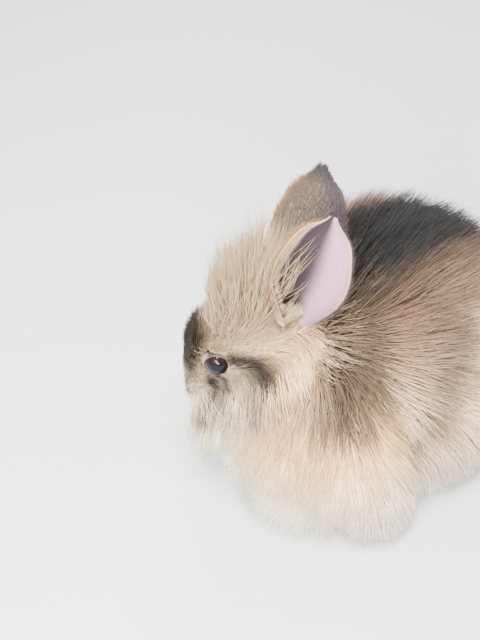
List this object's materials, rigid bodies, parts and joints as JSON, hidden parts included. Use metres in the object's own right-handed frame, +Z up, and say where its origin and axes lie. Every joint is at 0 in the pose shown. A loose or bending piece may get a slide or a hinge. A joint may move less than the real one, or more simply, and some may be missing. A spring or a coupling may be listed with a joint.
{
  "type": "dwarf rabbit",
  "caption": "Life-size still model of a young long-maned dwarf rabbit, hunched on the floor with its head turned to its right.",
  "frame": {"origin": "middle of the bounding box, on the floor", "axes": "+Z up; the body faces -X and its left side is -Y; the head is turned towards +Y"},
  "size_m": [0.2066, 0.1664, 0.177],
  "materials": {
    "face_fur": "short soft fur, tan with grey marks",
    "mane": "long soft hair, cream",
    "body_fur": "long soft fur, brown over tan, pale below",
    "leg_fur": "soft fur, cream to pale grey",
    "ear_skin": "thin skin, short fur outside, pink inside",
    "eye": "wet gloss, dark brown"
  },
  "bodies": {
    "root": {"head": "face_fur", "neck": "mane", "torso": "body_fur", "tail": "body_fur", "ear_left": "ear_skin", "ear_right": "ear_skin", "eye_left": "eye", "eye_right": "eye", "foreleg_left": "leg_fur", "foreleg_right": "leg_fur", "hindleg_left": "leg_fur", "hindleg_right": "leg_fur"}
  },
  "joints": []
}
